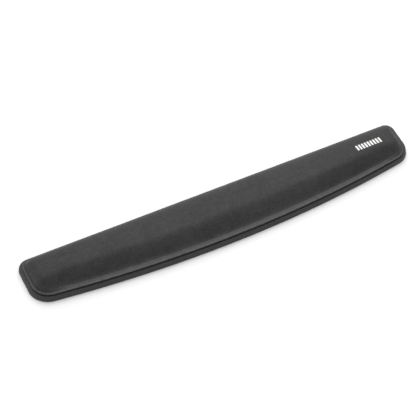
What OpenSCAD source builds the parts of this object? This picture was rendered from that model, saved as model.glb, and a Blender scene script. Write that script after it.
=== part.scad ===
// Padded wrist rest for a full-size keyboard: a gel and foam cushion in a
// leatherette cover, bonded to a moulded base with a rubber underside.
// X runs left to right, Y runs from the typist's side to the keyboard side,
// Z is up, and the origin is on the desk under the middle of the rest.
// The back edge is straight and the front edge is a shallow arc.
// The base and the flange follow the base's outline moved in by d. Inside the
// crease, the dome's level rings close in on a spine along the middle.

/* [Overall size] */
// Length of the rest, left to right
rest_l = 460; // [420:5:520]
// Width of the rest at its middle, front to back
rest_w = 73; // [71:1:90]
// Height from the desk to the top of the cushion
rest_h = 20; // [19:0.5:26]
// How far the front edge falls back from the middle to the ends
front_sweep = 18; // [8:1:21]
// How far each end leans in from the back edge to the front edge
end_taper = 8.5; // [0:0.5:12]
// Corner radius of the base at the front
front_r = 22; // [16:1:24]
// Corner radius of the base at the back
back_r = 12; // [9:1:20]
// How much wider every inset is at the two ends than along the sides
end_ratio = 1.35; // [1:0.05:1.5]

/* [Base] */
// Clearance between the desk and the base's lower edge
foot_gap = 0.5; // [0.3:0.1:0.7]
// Height of the outer wall's rounded top edge
wall_h = 6.1; // [5.8:0.1:6.3]
// How far the wall leans in from its foot to its top
wall_draft = 1; // [0.6:0.1:1.6]
// Height of the seat that the cushion is bonded to
seat_h = 6.6; // [6.5:0.1:7.4]
// Distance from the outline in to the seat, behind the shadow groove
seat_inset = 5; // [4.6:0.1:5.4]
// Thickness of the base's top plate
plate_t = 2.2; // [1.8:0.1:2.8]
// Thickness of the ribs under the plate
rib_t = 1.8; // [1.2:0.1:2.6]
// Distance between neighbouring cross ribs
rib_pitch = 38; // [30:1:42]

/* [Cushion cover] */
// Distance from the outline in to the lip of the cover
lip_inset = 3.4; // [3.2:0.1:4]
// Distance from the outline in to the crease at the foot of the dome
crease_inset = 8.8; // [8.2:0.1:9.2]
// Thickness of the coated leatherette skin
skin_t = 0.8; // [0.6:0.1:0.9]
// Thickness of the knitted lining bonded inside it
lining_t = 0.4; // [0.3:0.1:0.5]
// Thickness of the sheet that closes the cushion underneath
backing_t = 0.6; // [0.5:0.1:0.8]

/* [Cushion filling] */
// Distance from the outline in to the edge of the gel pouch
pouch_inset = 15; // [14:0.2:16]
// Width of the pouch's flat weld
weld_w = 1.6; // [1.2:0.1:2]
// Thickness of the film that the gel is sealed in
film_t = 0.2; // [0.15:0.05:0.3]

/* [Underside] */
// Thickness of the anti-slip rubber sheet
sheet_t = 1.2; // [1:0.1:1.5]
// Thickness of the double-sided adhesive sheets
tape_t = 0.2; // [0.15:0.05:0.2]
// Distance from the outline in to the edge of the rubber sheet
sheet_inset = 5; // [4.5:0.5:6]

/* [Printed mark] */
// Length of the printed bars, along the rest
mark_l = 34; // [20:1:36]
// Width of the printed bars, front to back
mark_w = 7.5; // [5:0.5:8]
// Distance from the middle of the rest to the middle of the print
mark_x = 178; // [120:1:180]
// Number of printed bars
mark_bars = 9; // [5:1:12]

/* [Hidden] */

// Radius and centre of the arc that the front edge follows
arc_r = (rest_l * rest_l / 4 + front_sweep * front_sweep) / (2 * front_sweep);
arc_y = arc_r - rest_w / 2;
// Distance in from the base's outline, at mid length, to the level crown
crown_inset = rest_w / 2 - 2;
// Length of the spine against that of the crease
spine_ratio = 0.885;

tape_top = sheet_t + tape_t;
// The print lies on the crown, a little behind its middle
mark_y = front_sweep / 2 * pow(mark_x / (rest_l / 2), 2) + 1.5;
ink_t = 0.1;
cell_top = seat_h - plate_t;
// Levels of the layers stacked on the seat, up to the flange's upper face
backing_z = seat_h + tape_t;
lining_z = backing_z + backing_t;
flange_h = lining_z + lining_t + skin_t;

// Width factor that leans the ends in, 1 where the outline is longest
function taper(y) =
  1 + end_taper / (rest_l / 2) * (y - rest_w / 2 + back_r) / rest_w;

// Corner radius left at inset d: it shrinks with d, and never to a point
function corner(r, d) = 3 + (r - 3) * exp(-d / (r - 3));

function arc_points(cx, cy, r, a0, a1, n) =
  [for (i = [0:n]) let (a = a0 + (a1 - a0) * i / n)
    [cx + r * cos(a), cy + r * sin(a)]];

// The outline at inset d, anticlockwise from the right end
function ring(d, nc = 10, ns = 24, nf = 24) =
  let (rf = corner(front_r, d), rb = corner(back_r, d),
       hx = rest_l / 2 - end_ratio * d, ra = arc_r - d,
       fx = hx - rf, fy = arc_y - sqrt((ra - rf) * (ra - rf) - fx * fx),
       bx = hx - rb, by = rest_w / 2 - d - rb, t = atan2(fy - arc_y, fx))
  [for (p = concat(
      arc_points(bx, by, rb, 0, 90, nc),
      [for (i = [1:ns - 1]) [bx - 2 * bx * i / ns, by + rb]],
      arc_points(-bx, by, rb, 90, 180, nc),
      arc_points(-fx, fy, rf, 180, 180 - t, nc),
      [for (i = [1:nf - 1]) let (a = 180 - t + (180 + 2 * t) * i / nf)
        [ra * cos(a), arc_y + ra * sin(a)]],
      arc_points(fx, fy, rf, t, 0, nc)))
    [p[0] * taper(p[1]), p[1]]];

// Middle of the width at x, where the spine runs
function spine_y(x) = front_sweep / 2 * pow(x / (rest_l / 2), 2);

// Level ring of the dome: t is 0 on the crease and 1 on the spine
function level(t) =
  [for (p = ring(crease_inset)) let (sx = spine_ratio * p[0])
    [p[0] * (1 - t) + sx * t, p[1] * (1 - t) + spine_y(sx) * t]];

// Outline at inset d, measured at mid length
function outline(d) = d <= crease_inset ? ring(d)
  : level((d - crease_inset) / (rest_w / 2 - crease_inset));

// How much of the long front slope a crease point has: 1 along the front,
// 0 at the back and the ends
function front_share(p) = p[1] > spine_y(p[0]) ? 0 :
  let (u = min(1, max(0, ((rest_l / 2 - end_ratio * crease_inset) * taper(p[1]) - abs(p[0])) / 20)))
  u * u * (3 - 2 * u);
share = [for (p = ring(crease_inset)) front_share(p)];

// What is left of the way to the crown at inset d: 1 at the crease, 0 at the crown
function left(d) = 1 - min(1, max(0, (d - crease_inset) / (crown_inset - crease_inset)));
// Height of the cover's upper face at inset d along the front, an S-shaped slope
function dome(d) = flange_h + (rest_h - flange_h) * pow(1 - pow(left(d), 3.8), 3.2);
// How much higher the same inset lies at the back and the ends, whose sides are steep
function lift(d) = flange_h + (rest_h - flange_h) * (1 - pow(left(d), 5)) - dome(d);
// Height of the lining's inner face
function under(d) = dome(d) - skin_t - lining_t;

// Insets of the dome's level rings, close together where the side is steep
function dome_insets(d0) =
  [for (k = [0, 0.05, 0.11, 0.18, 0.26, 0.35, 0.46, 0.6, 0.78, 1])
    d0 + (crown_inset - d0) * k];

// Triangles across a ring of n points, from its back half to its front half
function strip(n) =
  [for (i = [0:n / 2 - 2]) each [[i, i + 1, n - 2 - i], [i, n - 2 - i, n - 1 - i]]];

// Closed solid through rings; rows are [inset, height along the front, lift at
// the back and the ends], bottom to top
module loft(rows) {
  n = len(ring(0));
  m = len(rows);
  polyhedron(
    points = [for (r = rows) let (o = outline(r[0])) for (i = [0:n - 1])
      [o[i][0], o[i][1], r[1] + (len(r) > 2 ? r[2] * (1 - share[i]) : 0)]],
    faces = concat(
      [for (q = strip(n)) q],
      [for (k = [0:m - 2]) for (i = [0:n - 1]) let (j = (i + 1) % n)
        each [[k * n + i, (k + 1) * n + i, (k + 1) * n + j],
              [k * n + i, (k + 1) * n + j, k * n + j]]],
      [for (q = strip(n)) [for (i = [2:-1:0]) (m - 1) * n + q[i]]]));
}

// Flat sheet with the outline at inset d
module sheet(d, z, t) {
  translate([0, 0, z]) linear_extrude(t) polygon(outline(d));
}

// Shell between two dome-shaped faces, closed at its edge by the rim rows
module shell(inner, rim, outer) {
  loft(concat([for (i = [len(inner) - 1:-1:0]) inner[i]], rim, outer));
}

// Moulded base: drafted wall, shadow groove, seat, and ribs underneath
module base_tray() {
  color([0.10, 0.10, 0.105]) difference() {
    loft([
      [0.4, foot_gap], [0.1, foot_gap + 0.12], [0, foot_gap + 0.45],
      [wall_draft, wall_h - 1.1], [wall_draft + 0.2, wall_h - 0.5],
      [wall_draft + 0.65, wall_h - 0.1], [wall_draft + 1.1, wall_h],
      [seat_inset - 1.5, wall_h - 0.1], [seat_inset - 1.1, wall_h - 0.8],
      [seat_inset - 0.3, wall_h - 0.9], [seat_inset, wall_h - 0.6],
      [seat_inset, seat_h]]);
    translate([0, 0, -1]) linear_extrude(tape_top + 1)
      polygon(ring(sheet_inset - 0.5));
    translate([0, 0, 0.5]) linear_extrude(cell_top - 0.5) difference() {
      polygon(ring(7));
      translate([-rest_l / 2, -rib_t / 2]) square([rest_l, rib_t]);
      for (i = [-5:5])
        translate([i * rib_pitch - rib_t / 2, -rest_w]) square([rib_t, 2 * rest_w]);
    }
  }
}

// Double-sided sheet under the ribs
module antislip_adhesive() {
  color([0.80, 0.78, 0.70]) sheet(sheet_inset + 0.5, sheet_t, tape_t);
}

// Rubber sheet that grips the desk
module antislip_sheet() {
  color([0.07, 0.07, 0.07]) sheet(sheet_inset, 0, sheet_t);
}

// Double-sided sheet between the seat and the cushion
module pad_adhesive() {
  color([0.82, 0.80, 0.72]) sheet(seat_inset + 0.6, seat_h, tape_t);
}

// Sheet that closes the cushion and carries the cover's flange
module backing_sheet() {
  color([0.18, 0.18, 0.19]) sheet(lip_inset + 0.8, backing_z, lining_z - backing_z);
}

// Inset of the gel's edge, and height and lift of the pouch's underside. The
// pouch lies level from its rim to there, and slopes down to the front inside
gel_inset = pouch_inset + 0.7 + weld_w + 0.9;
pouch_z = under(pouch_inset);
pouch_lift = lift(pouch_inset);

// Foam block that holds the dome up
module foam_core() {
  d0 = crease_inset + 2.5;
  color([0.25, 0.25, 0.26])
    loft(concat([[d0, lining_z]],
      [for (k = [0:6]) let (d = d0 + (pouch_inset - d0) * k / 6) [d, under(d) - 0.05, lift(d)]],
      [[gel_inset, pouch_z - 0.05, pouch_lift]]));
}

// Lower film of the gel pouch
module gel_film_lower() {
  color([0.75, 0.78, 0.80, 0.6])
    loft([for (r = [[gel_inset, 0], [pouch_inset + 0.7, 0], [pouch_inset + 0.7, film_t], [gel_inset, film_t]])
      [r[0], pouch_z + r[1], pouch_lift]]);
}

// Upper face of the gel at each inset in from the weld
function gel_rows(drop) =
  concat([[pouch_inset + 0.7 + weld_w + drop, pouch_z + 2 * film_t - drop, pouch_lift]],
    [for (d = dome_insets(gel_inset)) [d, under(d) - 0.05 - drop, lift(d)]]);

// Upper film of the gel pouch, with its flat weld
module gel_film_upper() {
  color([0.72, 0.76, 0.80, 0.6])
    shell(gel_rows(film_t),
      [[pouch_inset + 0.7, pouch_z + film_t, pouch_lift],
       [pouch_inset + 0.7, pouch_z + 2 * film_t, pouch_lift]],
      gel_rows(0));
}

// Soft gel between the films
module gel_pad() {
  rows = gel_rows(film_t);
  color([0.45, 0.60, 0.72, 0.8])
    loft(concat([[gel_inset, pouch_z + film_t, pouch_lift]], [for (i = [1:len(rows) - 1]) rows[i]]));
}

// Knitted lining, welded to the backing sheet along the flange
module cover_lining() {
  rows = dome_insets(crease_inset);
  color([0.30, 0.30, 0.31])
    shell([for (d = rows) [d, under(d), lift(d)]],
      [[lip_inset + 0.8, lining_z], [lip_inset + 0.8, lining_z + lining_t]],
      [for (d = rows) [d, under(d) + lining_t, lift(d)]]);
}

// Leatherette skin: rounded lip, pressed flange, crease and dome
module cover_skin() {
  rows = dome_insets(crease_inset);
  color([0.13, 0.13, 0.135])
    shell([for (d = rows) [d, dome(d) - skin_t, lift(d)]],
      [[lip_inset + 0.8, flange_h - skin_t], [lip_inset + 0.8, backing_z + 0.1],
       [lip_inset + 0.5, backing_z], [lip_inset + 0.15, backing_z + 0.15],
       [lip_inset, backing_z + 0.6], [lip_inset + 0.05, flange_h - 0.8],
       [lip_inset + 0.3, flange_h - 0.3], [lip_inset + 0.75, flange_h - 0.05],
       [lip_inset + 1.4, flange_h]],
      [for (d = rows) [d, dome(d), lift(d)]]);
}

// Row of plain printed bars on the crown, near the right end
module printed_mark() {
  pitch = mark_l / mark_bars;
  color([0.93, 0.93, 0.93])
    for (i = [0:mark_bars - 1])
      translate([mark_x - mark_l / 2 + (i + 0.14) * pitch, mark_y - mark_w / 2, rest_h])
        linear_extrude(ink_t) square([0.72 * pitch, mark_w]);
}

base_tray();
antislip_adhesive();
antislip_sheet();
pad_adhesive();
backing_sheet();
foam_core();
gel_film_lower();
gel_pad();
gel_film_upper();
cover_lining();
cover_skin();
printed_mark();
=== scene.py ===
import math
import bpy
import numpy as np
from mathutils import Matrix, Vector
from mathutils.bvhtree import BVHTree
from mathutils.geometry import delaunay_2d_cdt


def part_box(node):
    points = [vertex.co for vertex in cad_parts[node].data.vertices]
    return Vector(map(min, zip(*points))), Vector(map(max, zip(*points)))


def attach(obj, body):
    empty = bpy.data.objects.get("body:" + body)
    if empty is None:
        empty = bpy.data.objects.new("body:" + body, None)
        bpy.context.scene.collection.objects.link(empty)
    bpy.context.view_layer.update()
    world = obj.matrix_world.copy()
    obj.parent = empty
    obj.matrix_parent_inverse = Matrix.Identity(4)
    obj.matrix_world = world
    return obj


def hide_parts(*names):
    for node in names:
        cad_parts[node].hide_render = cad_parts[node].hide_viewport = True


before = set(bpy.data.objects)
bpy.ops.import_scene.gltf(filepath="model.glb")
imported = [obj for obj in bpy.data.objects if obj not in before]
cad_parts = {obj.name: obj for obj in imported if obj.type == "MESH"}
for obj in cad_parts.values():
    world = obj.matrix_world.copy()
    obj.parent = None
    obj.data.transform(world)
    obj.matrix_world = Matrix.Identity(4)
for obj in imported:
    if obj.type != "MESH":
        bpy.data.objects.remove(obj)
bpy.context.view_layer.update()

tray_lo, tray_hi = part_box("base_tray")
skin_lo, skin_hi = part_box("cover_skin")
sheet_lo, sheet_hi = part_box("antislip_sheet")

# ---------------------------------------------------------------- the outline law, in millimetres, as the CAD draws it
W = round((tray_hi.y - tray_lo.y) * 1000, 1)
H = round(skin_hi.z * 1000, 1)
L, SWEEP, TAPER, FRONT_R, BACK_R, END_RATIO = 460.0, 18.0, 8.5, 22.0, 12.0, 1.35
CREASE, CROWN, SPINE, FLANGE_Z, SKIN_T = 8.8, W / 2 - 2, 0.885, 8.6, 0.8
ARC_R = (L * L / 4 + SWEEP * SWEEP) / (2 * SWEEP)
ARC_Y = ARC_R - W / 2
assert abs((tray_hi.x - tray_lo.x) * 1000 - L) < 1.0, "the packed outline has another length"


def corner(r, d):
    return 3 + (r - 3) * math.exp(-d / (r - 3))


def segment(d, seg, f):
    """Points of the outline inset by d. seg counts the twelve stretches anticlockwise from the middle of the back right corner, f runs 0..1 along each."""
    rf, rb = corner(FRONT_R, d), corner(BACK_R, d)
    hx, ra = L / 2 - END_RATIO * d, ARC_R - d
    fx = hx - rf
    fy = ARC_Y - math.sqrt((ra - rf) ** 2 - fx * fx)
    bx, by = hx - rb, W / 2 - d - rb
    t = math.atan2(fy - ARC_Y, fx)
    pi = math.pi

    def arc(cx, cy, r, a0, a1):
        a = a0 + (a1 - a0) * f
        return np.stack([cx + r * np.cos(a), cy + r * np.sin(a)], 1)

    def line(x0, y0, x1, y1):
        return np.stack([x0 + (x1 - x0) * f, y0 + (y1 - y0) * f], 1)

    if seg == 0: p = arc(bx, by, rb, pi / 4, pi / 2)
    elif seg == 1: p = line(bx, by + rb, -bx, by + rb)
    elif seg == 2: p = arc(-bx, by, rb, pi / 2, 3 * pi / 4)
    elif seg == 3: p = arc(-bx, by, rb, 3 * pi / 4, pi)
    elif seg == 4: p = line(-hx, by, -hx, fy)
    elif seg == 5: p = arc(-fx, fy, rf, pi, pi - t / 2)
    elif seg == 6: p = arc(-fx, fy, rf, pi - t / 2, pi - t)
    elif seg == 7: p = arc(0, ARC_Y, ra, pi - t, 2 * pi + t)
    elif seg == 8: p = arc(fx, fy, rf, t, t / 2)
    elif seg == 9: p = arc(fx, fy, rf, t / 2, 0)
    elif seg == 10: p = line(hx, fy, hx, by)
    else: p = arc(bx, by, rb, 0, pi / 4)
    p[:, 0] *= 1 + TAPER / (L / 2) * (p[:, 1] - (W / 2 - BACK_R)) / W
    return p


SIDES = ((0, 1, 2), (3, 4, 5), (6, 7, 8), (9, 10, 11))      # back, left end, front, right end


def graded(n, edge, mid, reach):
    """n steps from 0 to 1 whose size grows from edge to mid over the first and last reach steps."""
    k = np.minimum(np.arange(n) + 0.5, n - 0.5 - np.arange(n)) / reach
    w = edge + (mid - edge) * np.clip(k, 0, 1) ** 1.0
    return np.concatenate([[0], np.cumsum(w) / w.sum()])


def place(d, side, u):
    """(seg, f) pairs for the fractions u of one side's length on the outline inset by d."""
    dense = 400
    pts, tags = [], []
    for s in SIDES[side]:
        f = np.linspace(0, 1, dense)
        pts.append(segment(d, s, f))
        tags.append(np.stack([np.full(dense, s), f], 1))
    p, tag = np.concatenate(pts), np.concatenate(tags)
    a = np.concatenate([[0], np.cumsum(np.hypot(*np.diff(p, axis=0).T))])
    want = u * a[-1]
    out = []
    for w in want:
        i = min(max(int(np.searchsorted(a, w, side="right")) - 1, 0), len(a) - 2)
        while i < len(a) - 2 and a[i + 1] - a[i] < 1e-9:
            i += 1
        k = (w - a[i]) / max(a[i + 1] - a[i], 1e-9)
        s = int(tag[i, 0])
        f0, f1 = tag[i, 1], tag[i + 1, 1] if tag[i + 1, 0] == s else 1.0
        out.append((s, f0 + (f1 - f0) * min(max(k, 0), 1)))
    return out


def columns(d, u_long, u_short):
    """The columns of a whole loop, anticlockwise from the middle of the back right corner, each side's last point left to the next side."""
    cols = []
    for side in range(4):
        cols += place(d, side, u_long if side % 2 == 0 else u_short)[:-1]
    return cols


def loop(d, cols):
    """XY of the outline inset by d at these columns."""
    segs = np.array([c[0] for c in cols]); fr = np.array([c[1] for c in cols])
    out = np.zeros((len(cols), 2))
    for s in range(12):
        m = segs == s
        if m.any():
            out[m] = segment(d, s, fr[m])
    return out


def coons(ring, nl, ns):
    """A grid of (nl + 1) by (ns + 1) points inside a loop, with its four corners on the loop's corner points. Index [i, j]: i runs right to left, j runs back to front."""
    back = ring[0:nl + 1]
    left = ring[nl:nl + ns + 1]
    front = ring[nl + ns:2 * nl + ns + 1][::-1]
    right = np.concatenate([ring[2 * nl + ns:], ring[:1]])[::-1]
    cb = np.concatenate([[0], np.cumsum(np.hypot(*np.diff(back, axis=0).T))]); cb /= cb[-1]
    cf = np.concatenate([[0], np.cumsum(np.hypot(*np.diff(front, axis=0).T))]); cf /= cf[-1]
    cl = np.concatenate([[0], np.cumsum(np.hypot(*np.diff(left, axis=0).T))]); cl /= cl[-1]
    cr = np.concatenate([[0], np.cumsum(np.hypot(*np.diff(right, axis=0).T))]); cr /= cr[-1]
    v = ((cl + cr) / 2)[None, :, None]; u = ((cb + cf) / 2)[:, None, None]
    P = (1 - v) * back[:, None] + v * front[:, None] + (1 - u) * right[None] + u * left[None]
    P = P - ((1 - u) * (1 - v) * back[0] + u * (1 - v) * back[-1] + (1 - u) * v * front[0] + u * v * front[-1])
    return P


def spine_y(x):
    return SWEEP / 2 * (x / (L / 2)) ** 2


_cr = np.concatenate([segment(CREASE, s, np.linspace(0, 1, 300)) for s in range(12)])
_iR, _iL = int(_cr[:, 0].argmax()), int(_cr[:, 0].argmin())
_a, _b = sorted((_iR, _iL))
_h1, _h2 = _cr[_a:_b + 1], np.concatenate([_cr[_b:], _cr[:_a + 1]])
_up, _dn = (_h1, _h2) if _h1[:, 1].mean() > _h2[:, 1].mean() else (_h2, _h1)
_up, _dn = _up[np.argsort(_up[:, 0])], _dn[np.argsort(_dn[:, 0])]
_xm0, _xm1 = _cr[:, 0].min(), _cr[:, 0].max()


def depth(xy):
    """How far a point lies between the crease (0) and the spine (1)."""
    x, y = xy[..., 0], xy[..., 1]
    lo, hi = np.zeros(x.shape), np.ones(x.shape)
    for _ in range(26):
        t = (lo + hi) / 2
        px = x / (1 - (1 - SPINE) * t)
        sy = spine_y(SPINE * px) * t
        top = np.interp(px, _up[:, 0], _up[:, 1]) * (1 - t) + sy
        bot = np.interp(px, _dn[:, 0], _dn[:, 1]) * (1 - t) + sy
        ok = (px <= _xm1) & (px >= _xm0) & (y <= top) & (y >= bot)
        lo, hi = np.where(ok, t, lo), np.where(ok, hi, t)
    return lo


_fs = np.concatenate([segment(CREASE, 5, np.arange(0, 6) / 5), segment(CREASE, 6, np.arange(1, 6) / 5), segment(CREASE, 7, np.arange(1, 13) / 24)])
_end = (L / 2 - END_RATIO * CREASE) * (1 + TAPER / (L / 2) * (_fs[:, 1] - W / 2 + BACK_R) / W)
_u = np.clip((_end - np.abs(_fs[:, 0])) / 20, 0, 1)
_fx, _fv = np.abs(_fs[:, 0])[::-1], (_u * _u * (3 - 2 * _u))[::-1]


def front_share(x, y):
    """How much of the long front slope a crease point has: 1 along the front, 0 at the back and the ends, with straight steps between the CAD's points."""
    return np.where(y > spine_y(x), 0.0, np.interp(np.abs(x), _fx, _fv))


FULL = 5.4                      # at the back and the ends, the cover swells out over the flange to this inset


def full_side(d):
    """Height of the cover's full side at inset d, at the back and the ends."""
    v = np.clip(1 - (d - FULL) / (CROWN - FULL), 0, 1)
    return FLANGE_Z + (H - FLANGE_Z) * (1 - v ** 6)


def dome(xy, t):
    """Height at a point whose depth is t."""
    x = xy[..., 0] / (1 - t * (1 - SPINE))
    y = (xy[..., 1] - spine_y(SPINE * x) * t) / np.maximum(1 - t, 0.004)
    share = front_share(x, y)
    v = np.clip(1 - t * (W / 2 - CREASE) / (CROWN - CREASE), 0, 1)
    front = FLANGE_Z + (H - FLANGE_Z) * (1 - v ** 3.8) ** 3.2
    return share * front + (1 - share) * full_side(CREASE + t * (W / 2 - CREASE))


# ---------------------------------------------------------------- helpers
def vnoise(p, seed):
    """Smooth value noise from 0 to 1 at points p, given in cells."""
    i = np.floor(p).astype(np.int64)
    f = p - i
    f = f * f * (3 - 2 * f)
    total = np.zeros(len(p))
    with np.errstate(over="ignore"):
        for dx in (0, 1):
            for dy in (0, 1):
                for dz in (0, 1):
                    a = (i[:, 0] + dx).astype(np.uint64) * np.uint64(374761393) + (i[:, 1] + dy).astype(np.uint64) * np.uint64(668265263)
                    a = a + (i[:, 2] + dz).astype(np.uint64) * np.uint64(2246822519) + np.uint64(seed * 974711 + 17)
                    a = (a ^ (a >> np.uint64(13))) * np.uint64(1274126177)
                    a = a ^ (a >> np.uint64(16))
                    h = (a & np.uint64(0xFFFFFF)).astype(float) / float(0xFFFFFF)
                    w = (f[:, 0] if dx else 1 - f[:, 0]) * (f[:, 1] if dy else 1 - f[:, 1]) * (f[:, 2] if dz else 1 - f[:, 2])
                    total += h * w
    return total


def make(name, verts, faces, smooth=True):
    """A mesh object from points in millimetres."""
    me = bpy.data.meshes.new(name)
    me.from_pydata((np.asarray(verts, float) / 1000).tolist(), [], [tuple(int(k) for k in f) for f in faces])
    me.validate()
    me.update()
    if smooth:
        me.polygons.foreach_set("use_smooth", [True] * len(me.polygons))
    ob = bpy.data.objects.new(name, me)
    bpy.context.scene.collection.objects.link(ob)
    return ob


def outward(ob):
    """Turns every face of a closed mesh outward."""
    import bmesh
    bm = bmesh.new(); bm.from_mesh(ob.data)
    bmesh.ops.recalc_face_normals(bm, faces=bm.faces)
    if bm.calc_volume(signed=True) < 0:
        bmesh.ops.reverse_faces(bm, faces=bm.faces)
    bm.to_mesh(ob.data); bm.free()
    ob.data.update()


def strips(a, b, n):
    """Quads between two loops of n points that start at index a and b."""
    return [(a + i, a + (i + 1) % n, b + (i + 1) % n, b + i) for i in range(n)]


def grid_faces(idx):
    f = []
    ni, nj = idx.shape
    for i in range(ni - 1):
        for j in range(nj - 1):
            f.append((idx[i, j], idx[i + 1, j], idx[i + 1, j + 1], idx[i, j + 1]))
    return f


def boundary(idx):
    """A grid's rim as a loop, in the order that columns() gives."""
    return np.concatenate([idx[:-1, 0], idx[-1, :-1], idx[1:, -1][::-1], idx[0, 1:][::-1]])


def resample(rows, step):
    """A polyline of (d, z) with extra points so that no step is longer than this."""
    out = [rows[0]]
    for a, b in zip(rows[:-1], rows[1:]):
        n = max(1, int(math.ceil(math.hypot(b[0] - a[0], b[1] - a[1]) / step)))
        out += [(a[0] + (b[0] - a[0]) * k / n, a[1] + (b[1] - a[1]) * k / n) for k in range(1, n + 1)]
    return out


def attribute(ob, name, values):
    at = ob.data.attributes.new(name, "FLOAT", "POINT")
    at.data.foreach_set("value", np.asarray(values, np.float32))


# ---------------------------------------------------------------- materials
def material(name):
    m = bpy.data.materials.new(name)
    m.use_nodes = True
    nt = m.node_tree
    return m, nt, nt.nodes["Principled BSDF"]


def node(nt, kind, **props):
    n = nt.nodes.new(kind)
    for k, v in props.items():
        if k.startswith("in_"):
            n.inputs[k[3:].replace("_", " ")].default_value = v
        else:
            setattr(n, k, v)
    return n


def math_node(nt, op, a, b=None, c=None, clamp=False):
    n = nt.nodes.new("ShaderNodeMath"); n.operation = op; n.use_clamp = clamp
    for i, v in enumerate((a, b, c)):
        if v is None:
            continue
        if isinstance(v, (int, float)):
            n.inputs[i].default_value = v
        else:
            nt.links.new(v, n.inputs[i])
    return n.outputs[0]


def ramp(nt, fac, stops):
    n = nt.nodes.new("ShaderNodeValToRGB")
    e = n.color_ramp.elements
    while len(e) < len(stops):
        e.new(0.5)
    for k, (p, c) in enumerate(stops):
        e[k].position = p
        e[k].color = (*c, 1) if isinstance(c, tuple) else (c, c, c, 1)
    nt.links.new(fac, n.inputs["Fac"])
    return n.outputs["Color"]


def coords(nt):
    return nt.nodes.new("ShaderNodeTexCoord").outputs["Object"]


def noise(nt, co, scale, detail=2.0, rough=0.5):
    n = nt.nodes.new("ShaderNodeTexNoise")
    n.inputs["Scale"].default_value = scale
    n.inputs["Detail"].default_value = detail
    n.inputs["Roughness"].default_value = rough
    nt.links.new(co, n.inputs["Vector"])
    return n.outputs["Fac"]


def cells(nt, co, scale, feature="F1", smooth=None):
    n = nt.nodes.new("ShaderNodeTexVoronoi")
    n.feature = feature
    n.inputs["Scale"].default_value = scale
    if smooth is not None:
        n.inputs["Smoothness"].default_value = smooth
    nt.links.new(co, n.inputs["Vector"])
    return n.outputs["Distance"]


def bump(nt, height, strength, distance, normal=None):
    n = nt.nodes.new("ShaderNodeBump")
    n.inputs["Strength"].default_value = strength
    n.inputs["Distance"].default_value = distance
    nt.links.new(height, n.inputs["Height"])
    if normal is not None:
        nt.links.new(normal, n.inputs["Normal"])
    return n.outputs["Normal"]


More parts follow.
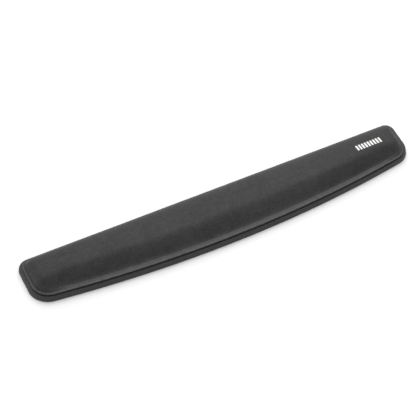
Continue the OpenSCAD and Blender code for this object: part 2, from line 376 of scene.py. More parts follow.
def leatherette():
    m, nt, b = material("leatherette_black")
    co = coords(nt)
    press = nt.nodes.new("ShaderNodeAttribute"); press.attribute_name = "press"
    press = press.outputs["Fac"]
    edge = nt.nodes.new("ShaderNodeAttribute"); edge.attribute_name = "edge"
    edge = edge.outputs["Fac"]
    # pebbles of the embossed grain, 0.9 mm across, broken up by a second, smaller set
    warp = nt.nodes.new("ShaderNodeTexNoise"); warp.inputs["Scale"].default_value = 600
    nt.links.new(co, warp.inputs["Vector"])
    mixv = nt.nodes.new("ShaderNodeVectorMath"); mixv.operation = "MULTIPLY_ADD"
    nt.links.new(warp.outputs["Color"], mixv.inputs[0]); mixv.inputs[1].default_value = (0.0006,) * 3
    nt.links.new(co, mixv.inputs[2])
    grain_a = cells(nt, mixv.outputs[0], 1100, "SMOOTH_F1", 0.35)
    grain_b = cells(nt, mixv.outputs[0], 2300, "F1")
    fine = noise(nt, co, 5200, 3, 0.6)
    h = math_node(nt, "ADD", math_node(nt, "MULTIPLY", grain_a, -1.0), math_node(nt, "MULTIPLY", grain_b, -0.35))
    h = math_node(nt, "ADD", h, math_node(nt, "MULTIPLY", fine, 0.22))
    keep = math_node(nt, "SUBTRACT", 1.0, math_node(nt, "MULTIPLY", press, 0.62))
    h = math_node(nt, "MULTIPLY", h, keep)
    # slow unevenness of the coat, a few millimetres across
    slow = noise(nt, co, 160, 3, 0.55)
    patch = noise(nt, co, 34, 4, 0.6)
    # creases of the embossing, one and a half to two millimetres across
    mid = noise(nt, co, 620, 2, 0.62)
    n1 = bump(nt, slow, 0.16, 0.0005)
    n1 = bump(nt, math_node(nt, "MULTIPLY", mid, keep), 0.72, 0.00060, n1)
    n2 = bump(nt, h, 0.34, 0.00022, n1)
    nt.links.new(n2, b.inputs["Normal"])
    # colour: charcoal with a little cloudiness, with painted shade in the grain's valleys, and paler on the lip's bead,
    # partly rubbed wear and partly painted highlight
    cloud = math_node(nt, "ADD", math_node(nt, "MULTIPLY", patch, 0.35), math_node(nt, "MULTIPLY", slow, 0.25))
    cloud = math_node(nt, "ADD", cloud, math_node(nt, "MULTIPLY", mid, 0.40))
    base = ramp(nt, cloud, [(0.38, (0.0105, 0.0106, 0.0109)), (0.62, (0.0335, 0.0337, 0.0342))])
    # painted shade: the grain's valleys are darkened in the colour
    painted_valley_shade = math_node(nt, "MULTIPLY", math_node(nt, "SUBTRACT", grain_a, 0.30, None, True), 1.1)
    dark = nt.nodes.new("ShaderNodeMix"); dark.data_type = "RGBA"; dark.blend_type = "MULTIPLY"
    nt.links.new(painted_valley_shade, dark.inputs["Factor"]); nt.links.new(base, dark.inputs["A"]); dark.inputs["B"].default_value = (0.62, 0.62, 0.62, 1)
    # painted highlight: the lip's bead is paler, partly rubbed wear and partly painted highlight, most along the front
    wear = math_node(nt, "MULTIPLY", edge, math_node(nt, "MULTIPLY_ADD", noise(nt, co, 420, 3, 0.6), 1.2, -0.15, True))
    rubbed_edge_and_highlight = nt.nodes.new("ShaderNodeMix"); rubbed_edge_and_highlight.data_type = "RGBA"
    nt.links.new(wear, rubbed_edge_and_highlight.inputs["Factor"]); nt.links.new(dark.outputs["Result"], rubbed_edge_and_highlight.inputs["A"])
    rubbed_edge_and_highlight.inputs["B"].default_value = (0.13, 0.13, 0.132, 1)
    nt.links.new(rubbed_edge_and_highlight.outputs["Result"], b.inputs["Base Color"])
    # roughness: satin, smoother where it was pressed, duller in the valleys
    r = math_node(nt, "MULTIPLY_ADD", patch, 0.10, 0.53)
    r = math_node(nt, "MULTIPLY_ADD", grain_a, 0.10, r)
    r = math_node(nt, "MULTIPLY_ADD", press, -0.25, r)
    nt.links.new(r, b.inputs["Roughness"])
    b.inputs["Specular IOR Level"].default_value = 0.40
    b.inputs["Sheen Weight"].default_value = 0.0
    return m


def tray_plastic():
    m, nt, b = material("base_plastic_black")
    co = coords(nt)
    spark = cells(nt, co, 1500, "SMOOTH_F1", 0.3)
    fine = noise(nt, co, 4200, 3, 0.65)
    h = math_node(nt, "ADD", math_node(nt, "MULTIPLY", spark, -0.9), math_node(nt, "MULTIPLY", fine, 0.5))
    nt.links.new(bump(nt, h, 0.45, 0.00018), b.inputs["Normal"])
    patch = noise(nt, co, 300, 4, 0.65)
    col = ramp(nt, patch, [(0.3, (0.0185, 0.0185, 0.019)), (0.7, (0.0325, 0.0325, 0.0335))])
    dust = math_node(nt, "MULTIPLY_ADD", noise(nt, co, 1300, 2, 0.7), 2.6, -1.45, True)
    mix = nt.nodes.new("ShaderNodeMix"); mix.data_type = "RGBA"
    nt.links.new(math_node(nt, "MULTIPLY", dust, 0.5), mix.inputs["Factor"])
    nt.links.new(col, mix.inputs["A"]); mix.inputs["B"].default_value = (0.085, 0.085, 0.087, 1)
    nt.links.new(mix.outputs["Result"], b.inputs["Base Color"])
    nt.links.new(math_node(nt, "MULTIPLY_ADD", fine, 0.22, 0.50), b.inputs["Roughness"])
    b.inputs["Specular IOR Level"].default_value = 0.42
    return m


def rubber():
    m, nt, b = material("antislip_rubber_black")
    co = coords(nt)
    n1, n2 = noise(nt, co, 900, 4, 0.65), noise(nt, co, 60, 3, 0.6)
    nt.links.new(bump(nt, n1, 0.3, 0.00012), b.inputs["Normal"])
    nt.links.new(ramp(nt, n2, [(0.3, (0.017, 0.017, 0.018)), (0.75, (0.034, 0.034, 0.035))]), b.inputs["Base Color"])
    nt.links.new(math_node(nt, "MULTIPLY_ADD", n1, 0.2, 0.68), b.inputs["Roughness"])
    b.inputs["Specular IOR Level"].default_value = 0.35
    return m


def ink():
    m, nt, b = material("print_white")
    co = coords(nt)
    wear = noise(nt, co, 2600, 3, 0.7)
    nt.links.new(ramp(nt, wear, [(0.28, (0.42, 0.42, 0.42)), (0.42, (0.84, 0.84, 0.83)), (0.8, (0.90, 0.90, 0.89))]), b.inputs["Base Color"])
    grain = cells(nt, co, 1100, "SMOOTH_F1", 0.35)
    nt.links.new(bump(nt, grain, 0.25, 0.00012), b.inputs["Normal"])
    nt.links.new(math_node(nt, "MULTIPLY_ADD", wear, 0.2, 0.45), b.inputs["Roughness"])
    return m


def tape():
    m, nt, b = material("adhesive_film_cream")
    co = coords(nt)
    n1, n2 = noise(nt, co, 180, 4, 0.6), cells(nt, co, 500, "F1")
    nt.links.new(ramp(nt, n1, [(0.3, (0.60, 0.57, 0.48)), (0.7, (0.78, 0.76, 0.68))]), b.inputs["Base Color"])
    nt.links.new(bump(nt, n2, 0.2, 0.00008), b.inputs["Normal"])
    nt.links.new(math_node(nt, "MULTIPLY_ADD", n1, 0.25, 0.35), b.inputs["Roughness"])
    return m


def fibre(name, lo, hi, pitch):
    """A fibre sheet or a fine knit: crossed waves at the yarn pitch with fuzz over them."""
    m, nt, b = material(name)
    co = coords(nt)
    waves = []
    for axis in ("X", "Y"):
        w = nt.nodes.new("ShaderNodeTexWave")
        w.wave_type = "BANDS"; w.bands_direction = axis; w.wave_profile = "SIN"
        w.inputs["Scale"].default_value = 0.314 / pitch
        w.inputs["Distortion"].default_value = 0.6
        w.inputs["Detail"].default_value = 1.0
        nt.links.new(co, w.inputs["Vector"])
        waves.append(w.outputs["Fac"])
    weave = math_node(nt, "MULTIPLY", waves[0], waves[1])
    fuzz = noise(nt, co, 3000, 4, 0.7)
    h = math_node(nt, "ADD", weave, math_node(nt, "MULTIPLY", fuzz, 0.4))
    nt.links.new(bump(nt, h, 0.6, 0.0002), b.inputs["Normal"])
    nt.links.new(ramp(nt, h, [(0.2, lo), (1.0, hi)]), b.inputs["Base Color"])
    nt.links.new(math_node(nt, "MULTIPLY_ADD", fuzz, 0.15, 0.8), b.inputs["Roughness"])
    b.inputs["Sheen Weight"].default_value = 0.25
    return m


def foam():
    m, nt, b = material("foam_charcoal")
    co = coords(nt)
    big, small = cells(nt, co, 900, "F1"), cells(nt, co, 2200, "F1")
    h = math_node(nt, "ADD", big, math_node(nt, "MULTIPLY", small, 0.5))
    nt.links.new(bump(nt, h, 0.8, 0.0005), b.inputs["Normal"])
    nt.links.new(ramp(nt, h, [(0.15, (0.045, 0.045, 0.048)), (0.9, (0.24, 0.24, 0.25))]), b.inputs["Base Color"])
    nt.links.new(math_node(nt, "MULTIPLY_ADD", noise(nt, co, 40, 3), 0.1, 0.85), b.inputs["Roughness"])
    return m


def gel():
    m, nt, b = material("gel_clear_blue")
    co = coords(nt)
    n1 = noise(nt, co, 45, 4, 0.55)
    bub = math_node(nt, "GREATER_THAN", cells(nt, co, 260, "F1"), 0.62)
    nt.links.new(ramp(nt, n1, [(0.3, (0.30, 0.47, 0.60)), (0.7, (0.46, 0.62, 0.72))]), b.inputs["Base Color"])
    nt.links.new(bump(nt, math_node(nt, "ADD", n1, math_node(nt, "MULTIPLY", bub, 0.3)), 0.3, 0.0004), b.inputs["Normal"])
    nt.links.new(math_node(nt, "MULTIPLY_ADD", n1, 0.1, 0.08), b.inputs["Roughness"])
    b.inputs["Subsurface Weight"].default_value = 0.4
    b.inputs["Subsurface Radius"].default_value = (0.004, 0.006, 0.008)
    b.inputs["Subsurface Scale"].default_value = 0.5
    return m


def film():
    m, nt, b = material("film_clear")
    co = coords(nt)
    n1 = noise(nt, co, 90, 5, 0.6)
    nt.links.new(ramp(nt, n1, [(0.3, (0.66, 0.70, 0.73)), (0.7, (0.80, 0.83, 0.85))]), b.inputs["Base Color"])
    nt.links.new(bump(nt, n1, 0.35, 0.0006), b.inputs["Normal"])
    nt.links.new(math_node(nt, "MULTIPLY_ADD", n1, 0.12, 0.12), b.inputs["Roughness"])
    return m


# ---------------------------------------------------------------- camera
AZ, EL, DIST = math.radians(-26.1089), math.radians(52.9941), 0.6719
back = Vector((math.sin(AZ) * math.cos(EL), -math.cos(AZ) * math.cos(EL), math.sin(EL)))
cam_data = bpy.data.cameras.new("camera")
cam_data.sensor_width = 36
cam_data.lens = 612.3 / 420 * 36
cam_data.shift_x = -(232.867 - 210) / 420
cam_data.shift_y = (212.670 - 210) / 420
cam_data.clip_start, cam_data.clip_end = 0.01, 20
cam = bpy.data.objects.new("camera", cam_data)
cam.location = back * DIST
cam.rotation_mode = "QUATERNION"
cam.rotation_quaternion = (-back).to_track_quat("-Z", "Y")
bpy.context.scene.collection.objects.link(cam)
bpy.context.scene.camera = cam

# ---------------------------------------------------------------- base tray
U_TRAY = (np.linspace(0, 1, 961), np.linspace(0, 1, 141))
tray_cols = columns(0.0, *U_TRAY)
NT = len(tray_cols)
outer_rows = [(0.4, 0.5), (0.2, 0.53), (0.08, 0.66), (0.0, 0.95)]
wall_rows = resample([(0.0, 0.95), (0.25, 1.96), (1.0, 5.0), (1.08, 5.35), (1.2, 5.6), (1.4, 5.85), (1.65, 6.0), (2.1, 6.1), (2.8, 6.1), (3.3, 6.08)], 0.47)[1:]
seat_rows = [(3.5, 6.0), (3.62, 5.8), (3.75, 5.45), (3.95, 5.24), (4.3, 5.18), (4.7, 5.2), (4.93, 5.32), (5.0, 5.6), (5.0, 6.45), (5.12, 6.6)]
rows = outer_rows + wall_rows + seat_rows
V, F, bases = [], [], []
slow_phase = None
for k, (d, z) in enumerate(rows):
    xy = loop(d, tray_cols)
    V.append(np.column_stack([xy, np.full(NT, z)]))
    bases.append(k * NT)
P = np.concatenate(V).reshape(len(rows), NT, 3)
# the spark-eroded pebbles of the mould, on the wall and its rounded top
tang = np.roll(P, -1, 1) - np.roll(P, 1, 1)
up = np.zeros_like(P); up[1:-1] = P[2:] - P[:-2]; up[0] = P[1] - P[0]; up[-1] = P[-1] - P[-2]
nrm = np.cross(tang, up); nrm /= np.linalg.norm(nrm, axis=2, keepdims=True) + 1e-12
flat = P.reshape(-1, 3)
peb = 0.62 * vnoise(flat / 1.15, 3) + 0.38 * vnoise(flat / 0.62, 5) - 0.5
peb = peb.reshape(len(rows), NT)
zz = P[..., 2]
dd = np.array([r[0] for r in rows])[:, None] + 0 * zz
mask = np.clip((zz - 0.7) / 0.5, 0, 1) * np.clip((3.4 - dd) / 0.4, 0, 1)
off = peb * 0.20 * mask
P = P + nrm * off[..., None]
# nothing of the base stands outside its CAD outline by more than the pebbles' height
V = P.reshape(-1, 3)
for k in range(len(rows) - 1):
    F += strips(bases[k], bases[k + 1], NT)


def fill(rim, holes, z):
    """Triangles over a flat region: the faces, with rim and holes as lists of (index, x, y); z is not used."""
    pts = [p for r in [rim] + holes for p in r]
    edges, at = [], 0
    for r in [rim] + holes:
        n = len(r)
        edges += [(at + i, at + (i + 1) % n) for i in range(n)]
        at += n
    res = delaunay_2d_cdt([Vector((p[1], p[2])) for p in pts], edges, [], 1 if not holes else 0, 1e-7)
    vo, fo, orig = res[0], res[2], res[3]
    ids = [pts[o[0]][0] if len(o) else None for o in orig]
    ring_xy = [np.array([(p[1], p[2]) for p in r]) for r in [rim] + holes]

    def inside(q, poly):
        x, y = poly[:, 0], poly[:, 1]
        x2, y2 = np.roll(x, -1), np.roll(y, -1)
        c = (y > q[1]) != (y2 > q[1])
        with np.errstate(divide="ignore", invalid="ignore"):
            xi = (x2 - x) * (q[1] - y) / (y2 - y) + x
        return bool((c & (q[0] < xi)).sum() % 2)

    faces = []
    for f in fo:
        if any(ids[k] is None for k in f):
            continue
        c = sum((np.array(vo[k]) for k in f), np.zeros(2)) / len(f)
        if inside(c, ring_xy[0]) and not any(inside(c, h) for h in ring_xy[1:]):
            faces.append(tuple(ids[k] for k in f))
    # slivers that lie just outside a nearly straight rim go: their outer edge is no rim edge and has no neighbour
    xy = {p[0]: (p[1], p[2]) for p in pts}
    rims = {frozenset((pts[a][0], pts[b][0])) for a, b in edges}

    def sides(f):
        return [frozenset((f[k], f[(k + 1) % len(f)])) for k in range(len(f))]

    def area(f):
        (ax, ay), (bx, by), (cx, cy) = (xy[k] for k in f[:3])
        return abs((bx - ax) * (cy - ay) - (cx - ax) * (by - ay)) / 2

    while True:
        seen = {}
        for f in faces:
            for e in sides(f):
                seen[e] = seen.get(e, 0) + 1
        kept = [f for f in faces if len(f) > 3 or area(f) > 0.01 or not any(seen[e] == 1 and e not in rims for e in sides(f))]
        if len(kept) == len(faces):
            return faces
        faces = kept


verts = [V]
count = len(V)
# the seat that the cushion is stuck to
top = bases[-1]
F += fill([(top + i, V[top + i, 0], V[top + i, 1]) for i in range(NT)], [], 6.6)
# underside: rim, recess for the rubber sheet, and the open cells between the ribs
under = [(0.75, 0.5), (4.2, 0.5), (4.42, 0.56), (4.5, 0.72), (4.5, 1.4)]
prev = bases[0]
for d, z in under:
    xy = loop(d, tray_cols)
    verts.append(np.column_stack([xy, np.full(NT, z)]))
    F += [f[::-1] for f in strips(prev, count, NT)]
    prev = count
    count += NT
rim_xy = loop(4.5, tray_cols)
cell_cols = columns(7.0, np.linspace(0, 1, 121), np.linspace(0, 1, 21))
cell_ring = loop(7.0, cell_cols)


def clip(poly, a, b, c):
    """The part of a convex polygon where a x + b y <= c."""
    out = []
    for i in range(len(poly)):
        p, q = poly[i], poly[(i + 1) % len(poly)]
        fp, fq = a * p[0] + b * p[1] - c, a * q[0] + b * q[1] - c
        if fp <= 0:
            out.append(p)
        if (fp < 0) != (fq < 0) and abs(fp - fq) > 1e-12:
            t = fp / (fp - fq)
            if 0 < t < 1:
                out.append((p[0] + (q[0] - p[0]) * t, p[1] + (q[1] - p[1]) * t))
    clean = []
    for p in out:
        if not clean or math.hypot(p[0] - clean[-1][0], p[1] - clean[-1][1]) > 1e-4:
            clean.append(p)
    if len(clean) > 1 and math.hypot(clean[0][0] - clean[-1][0], clean[0][1] - clean[-1][1]) < 1e-4:
        clean.pop()
    return clean


holes = []
RIB, PITCH = 1.8, 38.0
n_ribs = int(math.floor((L / 2 - 10) / PITCH))
xs = [k * PITCH for k in range(-n_ribs, n_ribs + 1)]
spans = [(-1e3, xs[0])] + list(zip(xs[:-1], xs[1:])) + [(xs[-1], 1e3)]
for x0, x1 in spans:
    for side in (1, -1):
        poly = [tuple(p) for p in cell_ring]
        poly = clip(poly, -1, 0, -(x0 + RIB / 2))
        poly = clip(poly, 1, 0, x1 - RIB / 2) if poly else poly
        poly = clip(poly, 0, -side, -RIB / 2) if poly else poly
        if len(poly) < 3:
            continue
        xy = np.array(poly)
        area = 0.5 * abs(np.sum(xy[:, 0] * np.roll(xy[:, 1], -1) - xy[:, 1] * np.roll(xy[:, 0], -1)))
        if area < 25:
            continue
        n = len(xy)
        verts.append(np.column_stack([xy, np.full(n, 1.4)]))
        verts.append(np.column_stack([xy, np.full(n, 4.4)]))
        lo_i, hi_i = count, count + n
        count += 2 * n
        F += strips(lo_i, hi_i, n)
        F += fill([(hi_i + i, xy[i, 0], xy[i, 1]) for i in range(n)], [], 4.4)
        holes.append([(lo_i + i, xy[i, 0], xy[i, 1]) for i in range(n)])
F += fill([(prev + i, rim_xy[i, 0], rim_xy[i, 1]) for i in range(NT)], holes, 1.4)
tray = make("base_tray_moulded", np.concatenate(verts), F)
outward(tray)
tray.data.materials.append(tray_plastic())
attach(tray, "root"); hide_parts("base_tray")

# ---------------------------------------------------------------- antislip sheet, with its moulded dimples
NL, NS = 400, 56
sh_cols = columns(5.0, np.linspace(0, 1, NL + 1), np.linspace(0, 1, NS + 1))
G = coons(loop(5.0, sh_cols), NL, NS)
gx, gy = G[..., 0], G[..., 1]
pitch = 4.2
ua, ub = (gx + gy) / pitch, (gx - gy) / pitch
wave = np.maximum(np.abs(np.sin(math.pi * ua)), np.abs(np.sin(math.pi * ub)))
relief = 0.32 * np.clip((0.93 - np.minimum(np.abs(np.sin(math.pi * ua)), np.abs(np.sin(math.pi * ub)))) / 0.5, 0, 1)
rimw = np.ones_like(gx)
for k in range(3):
    rimw[k, :] = rimw[-1 - k, :] = 0
    rimw[:, k] = rimw[:, -1 - k] = 0
relief = np.where(rimw > 0, relief, 0.0)
idx = np.arange((NL + 1) * (NS + 1)).reshape(NL + 1, NS + 1)
pts = [np.column_stack([gx.ravel(), gy.ravel(), relief.ravel()])]
F = [f[::-1] for f in grid_faces(idx)]
n_rim = len(sh_cols)
b0 = boundary(idx)
count = idx.size
rim = pts[0][b0].copy()
last = b0
for d_in, z in ((-0.0, 0.14), (0.0, 1.06), (0.14, 1.2)):
    xy = loop(5.0 + d_in, sh_cols)
    pts.append(np.column_stack([xy, np.full(n_rim, z)]))
    cur = np.arange(count, count + n_rim)
    F += [(last[i], last[(i + 1) % n_rim], cur[(i + 1) % n_rim], cur[i]) for i in range(n_rim)]
    last = cur
    count += n_rim
F += fill([(int(last[i]), pts[-1][i, 0], pts[-1][i, 1]) for i in range(n_rim)], [], 1.2)
allp = np.concatenate(pts)
allp[b0, 0:2] = loop(5.14, sh_cols)
sheet = make("antislip_sheet_moulded", allp, F)
outward(sheet)
sheet.data.materials.append(rubber())
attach(sheet, "root"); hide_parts("antislip_sheet")

# ---------------------------------------------------------------- cushion cover
ML, MS = 190, 24
u_long = graded(ML, 0.42, 1.0, 9)
u_short = graded(MS, 0.42, 1.0, 7)
cols = columns(CREASE, u_long, u_short)
NC = len(cols)
ring = loop(CREASE, cols)
G = coons(ring, ML, MS)
T = depth(G)
T[0, :] = T[-1, :] = 0
T[:, 0] = T[:, -1] = 0
Z = dome(G, T)
idx = np.arange(G.shape[0] * G.shape[1]).reshape(G.shape[:2])
rim_i = boundary(idx)
top_pts = np.column_stack([G.reshape(-1, 2), Z.ravel()])


def simulate(start, pressure, frames):
    """Swells the dome under even pressure with its rim held, and gives how far each point went, in millimetres."""
    scene = bpy.context.scene
    n = len(start)
    low = start.copy(); low[:, 2] = FLANGE_Z - 2.0
    faces = grid_faces(idx)
    verts = np.concatenate([start, low])
    f = faces + [tuple(int(k) + n for k in q[::-1]) for q in faces]
    r = rim_i
    f += [(r[i], r[i] + n, r[(i + 1) % NC] + n, r[(i + 1) % NC]) for i in range(NC)]
    ob = make("pad_sim", verts, f)
    outward(ob)
    g = ob.vertex_groups.new(name="held")
    g.add([int(k) for k in r] + list(range(n, 2 * n)), 1.0, "REPLACE")
    mod = ob.modifiers.new("cloth", "CLOTH")
    s = mod.settings
    s.quality = 6
    s.mass = 0.0006
    s.air_damping = 1.0
    s.tension_stiffness = s.compression_stiffness = 9
    s.shear_stiffness = 4
    s.bending_stiffness = 0.04
    s.vertex_group_mass = "held"
    s.use_pressure = True
    s.uniform_pressure_force = pressure
    s.effector_weights.gravity = 0
    mod.collision_settings.use_collision = False
    mod.collision_settings.use_self_collision = False
    mod.point_cache.frame_start, mod.point_cache.frame_end = 1, frames
    for fr in range(1, frames + 1):
        scene.frame_set(fr)
    dg = bpy.context.evaluated_depsgraph_get()
    ev = ob.evaluated_get(dg)
    me = ev.to_mesh()
    co = np.zeros(len(me.vertices) * 3, np.float32)
    me.vertices.foreach_get("co", co)
    ev.to_mesh_clear()
    bpy.data.objects.remove(ob)
    scene.frame_set(1)
    return co.reshape(-1, 3)[:n].astype(float) * 1000 - start


def relax(a, times):
    """Averages a grid of vectors with its neighbours, the rim held."""
    for _ in range(times):
        b = a.copy()
        b[1:-1, 1:-1] = 0.5 * a[1:-1, 1:-1] + 0.125 * (a[2:, 1:-1] + a[:-2, 1:-1] + a[1:-1, 2:] + a[1:-1, :-2])
        a = b
    return a


start = top_pts.copy()
start[:, 2] = FLANGE_Z + (start[:, 2] - FLANGE_Z) * 0.93
move = simulate(start, 4.0, 20)
print("SIM max", np.abs(move).max(0), "mean", np.abs(move).mean(0))
size = np.linalg.norm(move, axis=1)
cap = 1.6
move *= (np.minimum(size, cap) / np.maximum(size, 1e-9))[:, None]
move = relax(move.reshape(*G.shape[:2], 3), 6).reshape(-1, 3)
move[:, 2] += start[:, 2] - top_pts[:, 2]
# next to the crease the skin is held down, so it hardly swells there
move *= (np.clip(T.ravel() / 0.42, 0, 1) ** 1.5)[:, None]
pad = (top_pts + move).reshape(*G.shape[:2], 3)
# the highest point comes to the height that the CAD gives, and no point sinks under the CAD surface
rise = (H - 0.02 - FLANGE_Z) / (pad[..., 2].max() - FLANGE_Z)
pad[..., 2] = FLANGE_Z + (pad[..., 2] - FLANGE_Z) * rise
law = dome(pad[..., :2], depth(pad[..., :2]))
pad[1:-1, 1:-1, 2] = np.maximum(pad[1:-1, 1:-1, 2], law[1:-1, 1:-1] - 0.12)
# slight unevenness of a filled pouch, a tenth of a millimetre
q = pad.reshape(-1, 3)
lumps = (vnoise(q / 26.0, 11) - 0.5) * 0.22 + (vnoise(q / 11.0, 12) - 0.5) * 0.07
pad[..., 2] += (lumps * np.clip(T.ravel() / 0.35, 0, 1)).reshape(T.shape)
pad[..., 2] = np.minimum(pad[..., 2], H)
# the crease is pressed in a little along the front
rim_share = front_share(ring[:, 0], ring[:, 1])
CREASE_Z = rim_share * (FLANGE_Z - 0.18) + (1 - rim_share) * full_side(CREASE)
pad_flat = pad.reshape(-1, 3)
pad_flat[rim_i, 2] = CREASE_Z
pad_flat[rim_i, :2] = ring

verts = [pad_flat]
F = grid_faces(idx)
F = [f[::-1] for f in F]
count = len(pad_flat)
press = [np.zeros(count)]
edge = [np.zeros(count)]
press[0][rim_i] = 0.8 * rim_share
last = rim_i
# crease, flange, bead, lip, and back under it: (inset, height, pressed, rubbed wear and painted highlight)
rim_rows = [
    (8.45, 8.36, 1, 0), (8.05, 8.50, 1, 0), (7.2, 8.53, 1, 0), (6.3, 8.53, 1, 0), (5.6, 8.56, 1, 0.1), (5.1, 8.64, .8, .4),
    (4.65, 8.72, .5, .9), (4.25, 8.72, .3, 1), (3.9, 8.60, .3, 1), (3.62, 8.36, .3, .9), (3.46, 8.02, .3, .6), (3.4, 7.6, .3, .3), (3.44, 7.22, .3, .2),
    (3.58, 6.95, .3, .1), (3.8, 6.83, .3, 0), (4.05, 6.83, 0, 0), (4.2, 6.98, 0, 0), (4.22, 7.6, 0, 0), (4.5, 7.78, 0, 0), (6.5, 7.78, 0, 0), (8.0, 7.72, 0, 0)]
for d, z, pr, ed in rim_rows:
    xy = loop(d, cols)
    if z > 8.3 and d > FULL:
        z = rim_share * z + (1 - rim_share) * full_side(d)
    elif d > 6 and z < 7.8:
        z = rim_share * z + (1 - rim_share) * max(z, full_side(d - 1.1) - 0.9)
    verts.append(np.column_stack([xy, np.full(NC, 1.0) * z]))
    # the paler bead colour, rubbed wear and painted highlight, is strongest along the front
    press.append(pr * (0.15 + 0.85 * rim_share)); edge.append(ed * (0.5 + 0.5 * rim_share))
    cur = np.arange(count, count + NC)
    F += [(last[i], last[(i + 1) % NC], cur[(i + 1) % NC], cur[i]) for i in range(NC)]
    last = cur
    count += NC
# the inner face, one thickness under the outer
du = np.gradient(pad, axis=0); dv = np.gradient(pad, axis=1)
nrm = np.cross(du, dv); nrm /= np.linalg.norm(nrm, axis=2, keepdims=True) + 1e-12
nrm *= np.sign(nrm[..., 2:3])
inner = pad - nrm * (SKIN_T * 0.97)
inner[0, :, :2], inner[-1, :, :2] = pad[0, :, :2], pad[-1, :, :2]
inner[:, 0, :2], inner[:, -1, :2] = pad[:, 0, :2], pad[:, -1, :2]
inner_flat = inner.reshape(-1, 3)
inner_flat[rim_i, 2] = CREASE_Z - 0.7
inner_flat[rim_i, :2] = loop(CREASE + 0.25, cols)
verts.append(inner_flat)
press.append(np.zeros(len(inner_flat))); edge.append(np.zeros(len(inner_flat)))
in_idx = idx + count
r = rim_i + count
F += [(last[i], last[(i + 1) % NC], r[(i + 1) % NC], r[i]) for i in range(NC)]
F += grid_faces(in_idx)
cover = make("cushion_cover", np.concatenate(verts), F)
outward(cover)
attribute(cover, "press", np.concatenate(press))
attribute(cover, "edge", np.concatenate(edge))
sub = cover.modifiers.new("smooth", "SUBSURF")
sub.levels = sub.render_levels = 1
sub.subdivision_type = "CATMULL_CLARK"
dg = bpy.context.evaluated_depsgraph_get()
done = bpy.data.meshes.new_from_object(cover.evaluated_get(dg))
cover.modifiers.remove(sub)
old = cover.data
cover.data = done
bpy.data.meshes.remove(old)
cover.data.name = "cushion_cover"
cover.data.polygons.foreach_set("use_smooth", [True] * len(cover.data.polygons))
cover.data.materials.append(leatherette())
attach(cover, "root"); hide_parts("cover_skin")

# ---------------------------------------------------------------- printed bars, laid on the cover
bvh = BVHTree.FromObject(cover, bpy.context.evaluated_depsgraph_get())
m_lo, m_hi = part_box("printed_mark")
mx0, mx1, my0, my1 = (v * 1000 for v in (m_lo.x, m_hi.x, m_lo.y, m_hi.y))
BARS = 9
step = (mx1 - mx0) / (BARS + (BARS - 1) * 0.55)
verts, F = [], []
count = 0
for b in range(BARS):
    x0 = mx0 + b * step * 1.55
    x1 = x0 + step
    nx, ny = 4, 12
    r0 = 0.28
    g = np.zeros((nx + 1, ny + 1, 2, 3))
    for i in range(nx + 1):
        for j in range(ny + 1):
            x = x0 + (x1 - x0) * i / nx
            y = my0 + (my1 - my0) * j / ny
            # ends rounded a little
            k = min(j, ny - j) / ny * (my1 - my0)
            if k < 0.01:
                x = x0 + (x1 - x0) * (0.12 + 0.76 * i / nx)
            hit = bvh.ray_cast(Vector((x / 1000, y / 1000, 0.05)), Vector((0, 0, -1)))
            z = hit[0].z * 1000
            n = hit[1] if hit[1].z > 0 else -hit[1]
            rimdrop = 0.0 if 0 < i < nx and 0 < j < ny else 0.02
            for s, h in ((0, 0.055 - rimdrop), (1, -0.05)):
                g[i, j, s] = (x + n.x * h, y + n.y * h, z + n.z * h)
    n0 = (nx + 1) * (ny + 1)
    it = np.arange(n0).reshape(nx + 1, ny + 1) + count
    ib = it + n0
    verts.append(g[:, :, 0].reshape(-1, 3)); verts.append(g[:, :, 1].reshape(-1, 3))
    F += grid_faces(it) + [f[::-1] for f in grid_faces(ib)]
    rt, rb_ = boundary(it), boundary(ib)
    m = len(rt)
    F += [(rt[i], rb_[i], rb_[(i + 1) % m], rt[(i + 1) % m]) for i in range(m)]
    count += 2 * n0
mark = make("printed_bars", np.concatenate(verts), F)
outward(mark)
mark.data.materials.append(ink())
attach(mark, "root"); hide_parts("printed_mark")

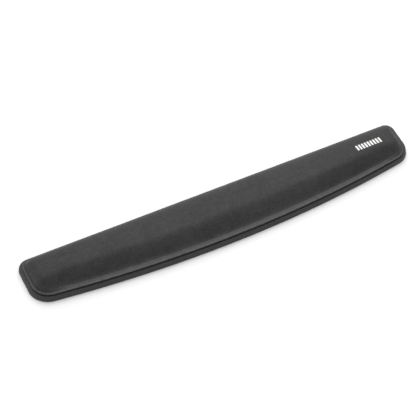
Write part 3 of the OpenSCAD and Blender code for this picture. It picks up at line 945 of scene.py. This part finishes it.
# ---------------------------------------------------------------- the pieces inside keep their CAD shapes
MATS = {
    "antislip_adhesive": tape(), "pad_adhesive": tape(),
    "backing_sheet": fibre("backing_fibre_grey", (0.05, 0.05, 0.053), (0.17, 0.17, 0.18), 0.0011),
    "cover_lining": fibre("lining_knit_grey", (0.12, 0.12, 0.125), (0.32, 0.32, 0.33), 0.0007),
    "foam_core": foam(), "gel_pad": gel(), "gel_film_lower": film(), "gel_film_upper": film(),
}
for name, mat in MATS.items():
    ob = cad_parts[name]
    if ob.material_slots:
        for s in ob.material_slots:
            s.material = mat
    else:
        ob.data.materials.append(mat)

# ---------------------------------------------------------------- studio
def floor_material():
    m, nt, b = material("floor_white")
    co = coords(nt)
    n = noise(nt, co, 7, 3, 0.5)
    nt.links.new(ramp(nt, n, [(0.2, 0.90), (0.8, 0.93)]), b.inputs["Base Color"])
    b.inputs["Roughness"].default_value = 0.9
    b.inputs["Specular IOR Level"].default_value = 0.1
    return m


fl = make("floor", [(-4000, -4000, -0.03), (4000, -4000, -0.03), (4000, 4000, -0.03), (-4000, 4000, -0.03)], [(0, 1, 2, 3)])
fl.data.materials.append(floor_material())

world = bpy.data.worlds.new("studio")
bpy.context.scene.world = world
world.use_nodes = True
wt = world.node_tree
bg = wt.nodes["Background"]
direction = wt.nodes.new("ShaderNodeTexCoord").outputs["Generated"]


def lobe(az, el, width, gain):
    """A soft pool of light in the direction az (0 is +Y, 90 is +X) and el, as wide as width degrees."""
    a, e = math.radians(az), math.radians(el)
    d = wt.nodes.new("ShaderNodeVectorMath"); d.operation = "DOT_PRODUCT"
    wt.links.new(direction, d.inputs[0])
    d.inputs[1].default_value = (math.sin(a) * math.cos(e), math.cos(a) * math.cos(e), math.sin(e))
    c = math.cos(math.radians(width))
    s = wt.nodes.new("ShaderNodeMapRange"); s.interpolation_type = "SMOOTHERSTEP"
    s.inputs["From Min"].default_value = c; s.inputs["From Max"].default_value = 1.0
    s.inputs["To Min"].default_value = 0.0; s.inputs["To Max"].default_value = gain
    wt.links.new(d.outputs["Value"], s.inputs["Value"])
    return s.outputs["Result"]


parts = [lobe(25, 52, 44, 1.45), lobe(34, 70, 90, 0.60), lobe(8, 14, 60, 0.85), lobe(-62, 12, 45, 0.5), lobe(155, 28, 60, 0.62)]
total = parts[0]
for p in parts[1:]:
    total = math_node(wt, "ADD", total, p)
total = math_node(wt, "ADD", total, 0.22)
wt.links.new(total, bg.inputs["Strength"])
bg.inputs["Color"].default_value = (1, 1, 1, 1)
bpy.context.scene.view_settings.view_transform = "Standard"

bpy.context.view_layer.update()
